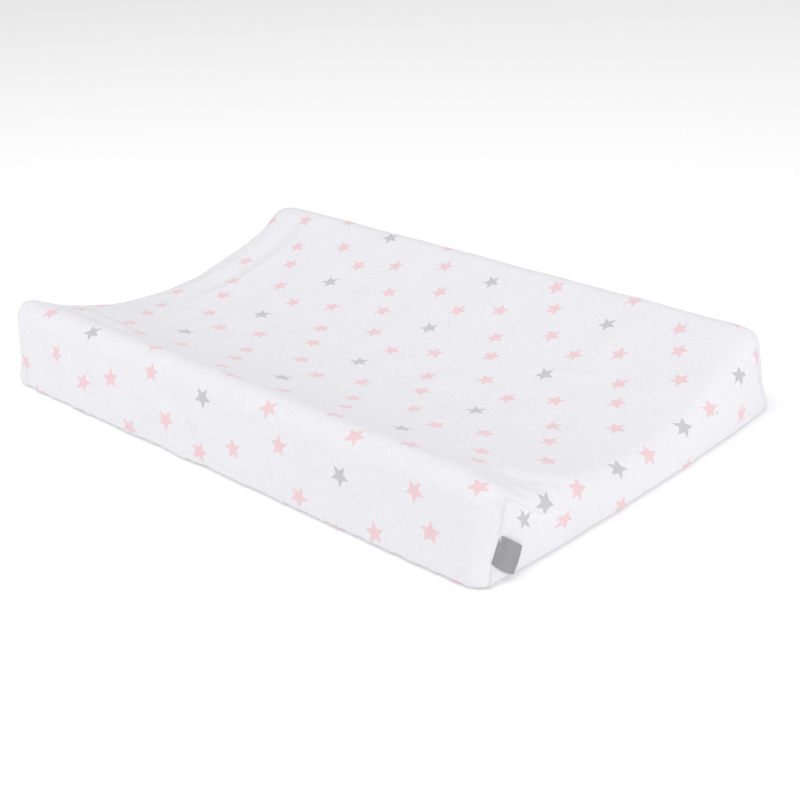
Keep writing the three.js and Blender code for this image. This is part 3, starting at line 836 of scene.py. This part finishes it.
def stitches(path, pitch, length, radius):
    """Short lengths of thread along a path, each a small closed spindle; returns points and faces."""
    run = np.concatenate([[0], np.cumsum(np.linalg.norm(np.diff(path, axis=0), axis=1))])
    starts = np.arange(pitch / 2, run[-1] - pitch / 2, pitch)
    tail, head = (np.stack([np.interp(at, run, path[:, k]) for k in range(3)], -1)
                  for at in (starts - length / 2, starts + length / 2))
    heading = head - tail
    heading /= np.linalg.norm(heading, axis=1, keepdims=True)
    side = np.cross(heading, (0.0, 0.0, 1.0))
    steep = np.linalg.norm(side, axis=1) < 0.3
    side[steep] = np.cross(heading[steep], (1.0, 0.0, 0.0))
    side /= np.linalg.norm(side, axis=1, keepdims=True)
    rise = np.cross(side, heading)
    around = np.linspace(0, 2 * math.pi, 6, endpoint=False)
    rings = []
    for share, swell in ((0.0, 0.35), (0.15, 0.85), (0.5, 1.0), (0.85, 0.85), (1.0, 0.35)):
        middle = tail + (head - tail) * share
        rings.append(middle[:, None] + radius * swell * (
            np.cos(around)[None, :, None] * side[:, None] + np.sin(around)[None, :, None] * rise[:, None]))
    block = np.stack(rings, 1)
    count = len(starts)
    index = np.arange(block[..., 0].size).reshape(count, 5, 6)
    nxt = np.roll(index, -1, 2)
    sides = np.stack([index[:, :-1], nxt[:, :-1], nxt[:, 1:], index[:, 1:]], -1).reshape(-1, 4)
    cap_a = np.stack([index[:, 0, [3, 2, 1, 0]], index[:, 0, [5, 4, 3, 0]]], 1).reshape(-1, 4)
    cap_b = np.stack([index[:, -1, [0, 1, 2, 3]], index[:, -1, [0, 3, 4, 5]]], 1).reshape(-1, 4)
    return block.reshape(-1, 3), np.concatenate([sides, cap_a, cap_b])


def join_blocks(name, blocks, material):
    points, faces, start = [], [], 0
    for block_points, block_faces in blocks:
        points.append(block_points)
        faces.append(block_faces + start)
        start += len(block_points)
    return make_mesh(name, np.concatenate(points), np.concatenate(faces), None, material)


def tube(path, radius, sides=10, taper=0.3):
    """A closed tube along a path, drawn in at both ends; returns points and faces."""
    heading = np.gradient(path, axis=0)
    heading /= np.linalg.norm(heading, axis=1, keepdims=True)
    side = np.cross(heading, (1.0, 0.0, 0.0))
    flat = np.linalg.norm(side, axis=1) < 0.3
    side[flat] = np.cross(heading[flat], (0.0, 0.0, 1.0))
    side /= np.linalg.norm(side, axis=1, keepdims=True)
    rise = np.cross(side, heading)
    around = np.linspace(0, 2 * math.pi, sides, endpoint=False)
    size = np.full(len(path), radius)
    size[[0, -1]] *= taper
    rings = path[:, None] + size[:, None, None] * (
        np.cos(around)[None, :, None] * side[:, None] + np.sin(around)[None, :, None] * rise[:, None])
    index = np.arange(rings[..., 0].size).reshape(len(path), sides)
    nxt = np.roll(index, -1, 1)
    walls = np.stack([index[:-1], nxt[:-1], nxt[1:], index[1:]], -1).reshape(-1, 4)
    caps = []
    for ring in (index[0][::-1], index[-1]):
        caps += [[ring[0], ring[k], ring[k + 1], ring[k + 2]] for k in range(1, sides - 2, 2)]
    return rings.reshape(-1, 3), np.concatenate([walls, np.array(caps)])


# ---- corner seams and side label ----

CORNER_SEAMS = {"corner_seam_front_left": (-1, -1), "corner_seam_front_right": (1, -1),
                "corner_seam_back_left": (-1, 1), "corner_seam_back_right": (1, 1)}


def seam_path(cover, end, side):
    """The line down one upright corner of the cover, from near the ridge to the foot, and outwards."""
    column = cover.sheet[:, 0 if end < 0 else -1]
    s = cover.home[column, 1] * side
    rows = column[(s > S_CREST + 0.012) & (s < S_FOOT + 0.001)]
    path = cover.points[rows if side > 0 else rows[::-1]]
    outward = np.array((end * math.cos(0.7), side * math.sin(0.7), 0.0))
    return path, np.broadcast_to(outward, path.shape)


def add_corner_seams(cover, cloth_material, thread):
    for name, (end, side) in CORNER_SEAMS.items():
        path, normals = seam_path(cover, end, side)
        ridge = join_blocks(name + "_fold", [tube(path - normals * 0.0005, 0.0008, 8)], cloth_material)
        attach(ridge, "cover")
        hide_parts(name)
        rows = []
        for shift in (-0.0019, 0.0019):
            run = np.cross(np.gradient(path, axis=0), normals)
            run /= np.linalg.norm(run, axis=1, keepdims=True)
            rows.append(stitches(path + run * shift - normals * 0.00025, 0.0030, 0.0020, 0.00016))
        seam = join_blocks(name + "_stitches", rows, thread)
        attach(seam, "cover")


LABEL_SIZE = 0.0260


def add_side_label(cover, material):
    """A folded tape sewn into the front right corner seam, hanging askew against the end."""
    path, _ = seam_path(cover, 1, -1)
    top = path[np.argmin(np.abs(path[:, 2] - 0.0445))]
    down = np.array((0.0, -0.46, -0.89))
    out = np.array((0.0, 0.75, -0.66))
    rows, columns = 22, 22
    u, v = np.meshgrid(np.linspace(0, 1, columns), np.linspace(0, 1, rows))
    grid = top + (v[..., None] * down + u[..., None] * out) * LABEL_SIZE
    face = HALF_LENGTH + 0.0075 * (1 - (grid[..., 1] / BASE_HALF_WIDTH) ** 2)
    hung = ramp(u, 0.0, 0.35)
    grid[..., 0] = (top[0] - 0.0006) * (1 - hung) + (face + 0.0011) * hung
    grid[..., 0] += 0.0014 * u ** 2 + 0.0008 * np.sin(math.pi * v) * u
    grid[..., 2] += 0.0012 * (2 * u - 1) ** 2 * v - 0.0008 * v
    flat = np.stack([u, v], -1) * LABEL_SIZE
    label = grid_mesh("side_label_tape", grid, flat, material, flip=True)
    thicken(label, 0.0009, 0.0)
    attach(label, "cover")
    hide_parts("side_label")


# ---- liner ----

ZIP_HALF = 0.300
SLOT_HALF = 0.005
ZIP_HEIGHT = 0.032
FOAM_DEPTH = 0.0064
S_ZIP = S_WALL + (WALL_TOP - LINER_DEPTH * math.sin(LEAN) - ZIP_HEIGHT) / math.cos(LEAN)
LINER_FOOT = S_WALL + (WALL_TOP - LINER_DEPTH * math.sin(LEAN) - 0.0066) / math.cos(LEAN)


def liner_height(home, seed):
    """Soft quilting of the coated fabric over the foam."""
    veins = 1 - np.abs(crumple(home, seed + 1, 0.035, 10))
    return 0.0003 * crumple(home, seed, 0.060, 12) + 0.0002 * veins


def liner_part(name, along, across, material, node, seed, edge=None):
    a, s = np.meshgrid(along, across)
    if edge is not None:
        s = edge(a, s)
    home = np.stack([a, s], -1)
    points, normals = skin(a, s, LINER_DEPTH)
    flat_home = home.reshape(-1, 2)
    lift = liner_height(flat_home, seed)
    border = ramp(CORE_HALF - np.abs(flat_home[:, 0]), 0.0, 0.012)
    seam = -0.0008 * (1 - border)
    moved = settle(points.reshape(-1, 3)) + normals.reshape(-1, 3) * (lift * border + seam)[:, None]
    piece = grid_mesh(name, moved.reshape(points.shape), home, material)
    thicken(piece, 0.0008)
    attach(piece, "pad")
    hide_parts(node)
    return piece


def slot_gap(a):
    """Half the gap left for the zip at each place along the front wall."""
    return SLOT_HALF * (1 - ramp(np.abs(a), ZIP_HALF - 0.002, ZIP_HALF + 0.008)) + 0.0002


def add_liner(liner, base, thread, piping_material):
    along = spaced(-CORE_HALF, CORE_HALF, 0.005)
    front_start = -0.215

    def to_upper_lip(a, s):
        lip = -(S_ZIP - slot_gap(a))
        share = np.clip((front_start - s) / (front_start + S_ZIP), 0, 1)
        return np.where(s < front_start, front_start + (lip - front_start) * share, s)

    below_ridge = spaced(-S_ZIP, front_start, 0.004)[:-1]
    across = np.concatenate([below_ridge, spaced(front_start, LINER_FOOT, 0.005)])
    liner_part("liner_top_fabric", along, across, liner, "liner_top_panel",
               51, to_upper_lip)

    def to_lower_lip(a, s):
        lip = -(S_ZIP + slot_gap(a))
        share = (s + LINER_FOOT) / (LINER_FOOT - S_ZIP)
        return -LINER_FOOT + (lip + LINER_FOOT) * share

    liner_part("liner_front_fabric", along, spaced(-LINER_FOOT, -S_ZIP, 0.004), liner,
               "liner_front_strip", 61, to_lower_lip)
    for end, side in ((-1, "left"), (1, "right")):
        add_liner_end(end, side, liner, piping_material)
    add_liner_base(base)
    lips = []
    for lip in (-1, 1):
        a = spaced(-ZIP_HALF, ZIP_HALF, 0.004)
        for offset in (0.0012, 0.0034):
            points, normals = skin(a, np.full_like(a, -S_ZIP + lip * (SLOT_HALF + offset)), LINER_DEPTH)
            height = liner_height(np.stack([a, np.full_like(a, -S_ZIP)], -1), 51 if lip > 0 else 61)
            lips.append(stitches(points + normals * (height + 0.0001)[:, None], 0.0034, 0.0024, 0.0002))
    seam = join_blocks("zip_stitching", lips, thread)
    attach(seam, "pad")


def add_liner_end(end, side, liner, piping_material):
    """One end cap: rounded edge and end face, from the piping round to the base."""
    cloth, _ = wrap_skin(LINER_DEPTH, 0.005, LINER_FOOT)
    cloth.points = settle(cloth.points)
    soften(cloth, 5)
    faces = np.concatenate(cloth.faces)
    flat = np.concatenate(cloth.flat)
    middle = cloth.home[faces].mean(1)[:, 0] * end
    keep = middle > CORE_HALF
    faces, flat = faces[keep], flat[keep]
    used, faces = np.unique(faces, return_inverse=True)
    home = cloth.home[used]
    border = ramp(np.abs(home[:, 0]) - CORE_HALF, 0.0, 0.010)
    lift = 1.3 * liner_height(home, 71 + end) * border - 0.0008 * (1 - border)
    points = cloth.points[used] + cloth.normals[used] * lift[:, None]
    piece = make_mesh(f"liner_{side}_end_fabric", points, faces.reshape(-1, 4), flat, liner)
    thicken(piece, 0.0008)
    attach(piece, "pad")
    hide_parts(f"liner_end_panel_{side}")
    s = spaced(-LINER_FOOT + 0.002, LINER_FOOT - 0.002, 0.0030)
    path, normals = skin(np.full_like(s, end * CORE_HALF), s, LINER_DEPTH)
    path = settle(path) + normals * 0.0004
    cord = join_blocks(f"piping_{side}", [tube(path, 0.0015, 12)], piping_material)
    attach(cord, "pad")
    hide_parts(f"end_piping_{side}")


def add_liner_base(material):
    """The underside: a recess for the hem all round, and a flat middle that the pad stands on."""
    hull, loop = wrap_skin(LINER_DEPTH, 0.006, LINER_FOOT)
    ring, _ = even_ring(settle(loop_points(hull, loop)), 480)
    rows = []
    recess = 0.062
    inner = inner_frame(ring, recess)
    for inset, height in ((0.0005, 0.0062), (0.006, 0.0058), (0.020, 0.0056), (0.034, 0.0056),
                          (0.044, 0.0056), (0.050, 0.0050), (0.054, 0.0030), (0.058, 0.0012),
                          (recess, 0.0006)):
        rows.append(moved_in(ring, inner, min(1.0, inset / recess), height))
    centre = rows[-1]
    for share in np.linspace(0, 1, 26)[1:]:
        row = centre.copy()
        spine = np.stack([np.clip(centre[:, 0], -0.16, 0.16), np.zeros(len(centre))], -1)
        row[:, :2] = centre[:, :2] + (spine - centre[:, :2]) * share * 0.999
        row[:, 2] = 0.0006 + 0.0004 * share
        rows.append(row)
    places = np.stack([np.concatenate([row, row[:1]])[:, :2] for row in rows])
    piece = ring_mesh("liner_base_fabric", rows, places, material, flip=True)
    thicken(piece, 0.0005, 1.0)
    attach(piece, "pad")
    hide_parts("liner_base_panel")


def add_care_label(material):
    low, high = (Vector(corner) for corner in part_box("care_label"))
    rows, columns = 24, 30
    grid = np.zeros((rows, columns, 3))
    for r in range(rows):
        for c in range(columns):
            u, v = c / (columns - 1), r / (rows - 1)
            y = low.y + (high.y - low.y) * u
            z = low.z + (high.z - low.z) * v
            face = HALF_LENGTH - LINER_DEPTH + END_BELLY * (1 - (y / BASE_HALF_WIDTH) ** 2)
            x = face + 0.0009 + 0.0007 * math.sin(3.1 * u + 0.6) * (1 - v)
            grid[r, c] = (x, y, z)
    along = np.linspace(0, high.y - low.y, columns)
    up = np.linspace(0, high.z - low.z, rows)
    flat = np.stack(np.meshgrid(along, up), -1)
    label = grid_mesh("care_label_tape", grid, flat, material)
    thicken(label, 0.0004, 0.0)
    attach(label, "pad")
    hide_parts("care_label")


def add_foam(material):
    cloth, loop = wrap_skin(FOAM_DEPTH, 0.007, S_WALL + (WALL_TOP - 0.0115) / math.cos(LEAN))
    cloth.points = settle(cloth.points)
    soften(cloth, 3)
    ring = loop_points(cloth, loop)
    before = np.concatenate([index[:-1] for index, _, _ in loop])
    rows = [before]
    for inset, height in ((0.002, 0.0076), (0.020, 0.0072), (0.046, 0.0072), (0.058, 0.0032)):
        row = ring.copy()
        row[:, :2] = ring[:, :2] + (inner_frame(ring, 0.060) - ring[:, :2]) * inset / 0.060
        row[:, 2] = height
        rows.append(cloth.add(row, np.array((0.0, 0.0, -1.0)), row[:, :2]))
    centre = row
    for share in np.linspace(0, 1, 20)[1:]:
        row = centre.copy()
        spine = np.stack([np.clip(centre[:, 0], -0.16, 0.16), np.zeros(len(centre))], -1)
        row[:, :2] = centre[:, :2] + (spine - centre[:, :2]) * share * 0.999
        rows.append(cloth.add(row, np.array((0.0, 0.0, -1.0)), row[:, :2]))
    grid = np.stack([np.concatenate([row, row[:1]]) for row in rows])
    cloth.quads(grid, cloth.points[grid][..., :2], flip=True)
    piece = cloth_mesh("foam_block", cloth, material)
    apply_modifier(piece, "closed", "WELD", merge_threshold=0.0004)
    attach(piece, "pad")
    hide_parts("foam_core")


# ---- zip ----

ZIP_TURN = Matrix.Translation((0.0, -0.2142, ZIP_HEIGHT)) @ Matrix.Rotation(math.pi / 2 - LEAN, 4, "X")


def on_zip(points):
    """From the zip's own frame (along the pad, up the wall, outwards) to the pad's."""
    turn = np.array(ZIP_TURN)
    return points @ turn[:3, :3].T + turn[:3, 3]


def add_zip_tapes(material):
    for side, name in ((1, "upper"), (-1, "lower")):
        x = spaced(-0.302, 0.302, 0.004)
        y = np.array([2.0, 2.4, 2.8, 3.4, 4.4, 6.0, 8.0, 10.0, 12.0, 14.0, 15.0]) / 1000
        rise = np.array([0.30, 0.42, 0.30, 0.06, 0.0, 0.0, 0.0, 0.0, 0.0, 0.0, 0.0]) / 1000
        grid_x, grid_y = np.meshgrid(x, y)
        flat = np.stack([grid_x, grid_y], -1)
        points = np.stack([grid_x, side * grid_y, -0.0014 + rise[:, None] + 0 * grid_x], -1)
        tape = grid_mesh(f"zip_tape_{name}_weave", on_zip(points), flat, material, flip=side < 0)
        thicken(tape, 0.0006)
        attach(tape, "pad")
        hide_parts(f"zip_tape_{name}")


COIL_PITCH = 0.0017


def add_zip_coils(material):
    """Each row of teeth is a nylon coil, sewn to its tape and half a pitch out of step with the other."""
    for side, name in ((1, "upper"), (-1, "lower")):
        node_low, node_high = (Vector(corner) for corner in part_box(f"zip_teeth_{name}"))
        turns = int((node_high.x - node_low.x) / COIL_PITCH)
        steps = 12
        t = np.arange(turns * steps + 1) / steps
        angle = 2 * math.pi * t
        x = node_low.x + (t + (0.25 if side > 0 else 0.75)) * COIL_PITCH
        reach = 0.5 * (1 - np.cos(angle))
        y = side * (0.0022 - 0.0027 * reach)
        z = -0.0002 + 0.0007 * np.sin(angle) * (0.8 + 0.5 * reach)
        path = np.stack([x, y, z], -1)
        coil = join_blocks(f"zip_coil_{name}", [tube(on_zip(path), 0.00036, 6)], material)
        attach(coil, "pad")
        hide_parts(f"zip_teeth_{name}")


# ---- finishes ----

def weave_group():
    """A plain weave or rib of one pitch: Height of the threads and Shade between them."""
    group, tree, given, out = new_group(
        "woven threads", [("Place", "Vector", None), ("Pitch", "Float", 0.0006), ("Rib", "Float", 0.0)],
        [("Height", "Float"), ("Shade", "Float")])
    parts = tree.split(given["Place"])
    turn = tree.math("DIVIDE", math.pi, given["Pitch"])
    warp = tree.math("SINE", tree.math("MULTIPLY", parts["X"], turn))
    weft = tree.math("SINE", tree.math("MULTIPLY", parts["Y"], turn))
    checker = tree.math("MULTIPLY", warp, weft)
    ribs = tree.math("ABSOLUTE", warp)
    plain = tree.math("ADD", tree.math("MULTIPLY", checker, 0.5), 0.5)
    height = tree.node("ShaderNodeMix", data_type="FLOAT")
    tree.put(height.inputs[0], given["Rib"])
    tree.put(height.inputs[2], plain)
    tree.put(height.inputs[3], ribs)
    loose = tree.noise(given["Place"], 700.0, 3.0, 0.6)
    total = tree.math("ADD", height.outputs[0], tree.math("MULTIPLY", loose, 0.5))
    tree.put(out["Height"], total)
    tree.put(out["Shade"], tree.smooth(total, 0.2, 1.2))
    return group


def woven_material(name, weave, dark, light, pitch, rib=0.0, roughness=0.8, sheen=0.2, depth=0.0003):
    material, tree, shader = new_material(name, roughness=roughness)
    threads = tree.group(weave, Place=uv_position(tree), Pitch=pitch, Rib=rib)
    tree.put(shader.inputs["Base Color"], tree.mix(threads["Shade"], (*dark, 1.0), (*light, 1.0)))
    shader.inputs["Sheen Weight"].default_value = sheen
    shader.inputs["Specular IOR Level"].default_value = 0.25
    add_bump(tree, shader, threads["Height"], 0.8, depth)
    return material


def object_position(tree):
    return tree.nodes.new("ShaderNodeTexCoord").outputs["Object"]


def grain_group():
    """Fine pebbled grain with slower clouding: Height, and Cloud from 0 to 1."""
    group, tree, given, out = new_group(
        "pebbled grain", [("Place", "Vector", None), ("Scale", "Float", 1.0)],
        [("Height", "Float"), ("Cloud", "Float")])
    place = tree.node("ShaderNodeVectorMath", given["Place"], operation="SCALE")
    tree.put(place.inputs["Scale"], given["Scale"])
    cells = tree.node("ShaderNodeTexVoronoi", feature="SMOOTH_F1")
    tree.put(cells.inputs["Vector"], place.outputs[0])
    cells.inputs["Scale"].default_value = 900.0
    fine = tree.noise(place.outputs[0], 1800.0, 3.0, 0.6)
    cloud = tree.noise(place.outputs[0], 45.0, 3.0, 0.55)
    tree.put(out["Height"], tree.math("ADD", cells.outputs["Distance"], tree.math("MULTIPLY", fine, 0.4)))
    tree.put(out["Cloud"], tree.smooth(cloud, 0.3, 0.7))
    return group


def grained_material(name, grain, dark, light, roughness=(0.4, 0.5), scale=1.0, strength=0.25, depth=0.0003,
                     metallic=0.0, coat=0.0, specular=0.5):
    material, tree, shader = new_material(name, metallic=metallic)
    seen = tree.group(grain, Place=object_position(tree), Scale=scale)
    tree.put(shader.inputs["Base Color"], tree.mix(seen["Cloud"], (*dark, 1.0), (*light, 1.0)))
    spread = tree.node("ShaderNodeMapRange", seen["Cloud"], 0.0, 1.0, *roughness)
    tree.put(shader.inputs["Roughness"], spread.outputs[0])
    shader.inputs["Coat Weight"].default_value = coat
    shader.inputs["Specular IOR Level"].default_value = specular
    add_bump(tree, shader, seen["Height"], strength, depth)
    return material


def thread_material():
    """Cotton thread: two plies twisted together."""
    material, tree, shader = new_material("cotton thread", roughness=0.75)
    place = object_position(tree)
    parts = tree.split(place)
    lay = tree.math("ADD", tree.math("ADD", parts["X"], parts["Y"]), tree.math("MULTIPLY", parts["Z"], 1.7))
    twist = tree.math("ABSOLUTE", tree.math("SINE", tree.math("MULTIPLY", lay, 5200.0)))
    fibres = tree.noise(place, 1500.0)
    shade = tree.math("ADD", tree.math("MULTIPLY", twist, 0.6), tree.math("MULTIPLY", fibres, 0.4))
    colour = tree.mix(shade, (0.66, 0.655, 0.685, 1.0), (0.82, 0.815, 0.85, 1.0))
    tree.put(shader.inputs["Base Color"], colour)
    shader.inputs["Sheen Weight"].default_value = 0.2
    add_bump(tree, shader, twist, 0.5, 0.0001)
    return material


def foam_material(grain):
    material, tree, shader = new_material("open-cell foam", roughness=0.95)
    place = object_position(tree)
    cells = tree.node("ShaderNodeTexVoronoi", feature="F1")
    tree.put(cells.inputs["Vector"], place)
    cells.inputs["Scale"].default_value = 650.0
    # Mask of the pores: it dents them through the bump, and it paints their darker colour, which is painted
    # shade inside the hollows.
    pores_and_pore_shade = tree.smooth(cells.outputs["Distance"], 0.15, 0.55)
    seen = tree.group(grain, Place=place, Scale=0.5)
    cream = tree.mix(seen["Cloud"], (0.72, 0.62, 0.40, 1.0), (0.80, 0.72, 0.50, 1.0))
    # The darker brown in the pores is painted shade, not the foam's own colour.
    tree.put(shader.inputs["Base Color"], tree.mix(pores_and_pore_shade, (0.50, 0.42, 0.26, 1.0), cream))
    add_bump(tree, shader, pores_and_pore_shade, 0.9, 0.0008)
    return material


def base_material(weave):
    """Light grey cloth with rows of small rubbery dots."""
    material, tree, shader = new_material("non-slip dotted cloth", roughness=0.8)
    place = uv_position(tree)
    threads = tree.group(weave, Place=place, Pitch=0.0007, Rib=0.0)
    parts = tree.split(place)
    pitch = 0.008
    near = []
    for axis in ("X", "Y"):
        step = tree.math("DIVIDE", parts[axis], pitch)
        near.append(tree.math("SUBTRACT", step, tree.math("ROUND", step)))
    away = tree.vector("LENGTH", tree.join(*near))
    dot = tree.smooth(away, 0.17, 0.25, 1.0, 0.0)
    cloth = tree.mix(threads["Shade"], (0.40, 0.40, 0.42, 1.0), (0.50, 0.50, 0.52, 1.0))
    tree.put(shader.inputs["Base Color"], tree.mix(dot, cloth, (0.74, 0.74, 0.76, 1.0)))
    tree.put(shader.inputs["Roughness"], tree.smooth(dot, 0.0, 1.0, 0.85, 0.42))
    height = tree.math("ADD", tree.math("MULTIPLY", dot, 2.0), tree.math("MULTIPLY", threads["Height"], 0.3))
    add_bump(tree, shader, height, 0.8, 0.0006)
    return material


def dress(node, material):
    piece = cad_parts[node]
    piece.data.materials.clear()
    piece.data.materials.append(material)


# ---- the whole pad ----

add_camera()
add_studio()
jersey = jersey_group()
weave = weave_group()
grain = grain_group()
cotton = cover_material(jersey)
thread = thread_material()
liner = grained_material("coated liner fabric", grain, (0.74, 0.74, 0.73), (0.80, 0.80, 0.79),
                         (0.34, 0.46), coat=0.15)
piping = grained_material("coated piping", grain, (0.60, 0.60, 0.62), (0.68, 0.68, 0.70),
                          (0.35, 0.45), scale=1.6)
nylon = grained_material("zip nylon", grain, (0.66, 0.66, 0.68), (0.76, 0.76, 0.78),
                         (0.25, 0.35), scale=2.0, strength=0.08)
metal = grained_material("satin nickel", grain, (0.60, 0.60, 0.62), (0.74, 0.74, 0.75),
                         (0.22, 0.36), scale=2.5, strength=0.06, metallic=1.0)
elastic = woven_material("knitted elastic", weave, (0.62, 0.62, 0.62), (0.80, 0.80, 0.80), 0.0011, rib=0.8)
grey_tape = woven_material("grey woven label", weave, (0.27, 0.27, 0.285), (0.38, 0.38, 0.40),
                           0.00045, sheen=0.3)
white_tape = woven_material("white satin label", weave, (0.70, 0.70, 0.71), (0.84, 0.84, 0.85),
                            0.0004, rib=0.6, roughness=0.45)
zip_cloth = woven_material("zip tape weave", weave, (0.60, 0.60, 0.62), (0.78, 0.78, 0.80), 0.0007, rib=0.3)

cover, foot = add_cover(cotton)
add_hem(cotton, thread, elastic, foot)
add_corner_seams(cover, cotton, thread)
add_side_label(cover, grey_tape)
add_liner(liner, base_material(weave), thread, piping)
add_care_label(white_tape)
add_foam(foam_material(grain))
add_zip_tapes(zip_cloth)
add_zip_coils(nylon)
for node in ("zip_slider", "zip_pull", "zip_bottom_stop", "zip_top_stop_upper", "zip_top_stop_lower"):
    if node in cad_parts:
        dress(node, metal)
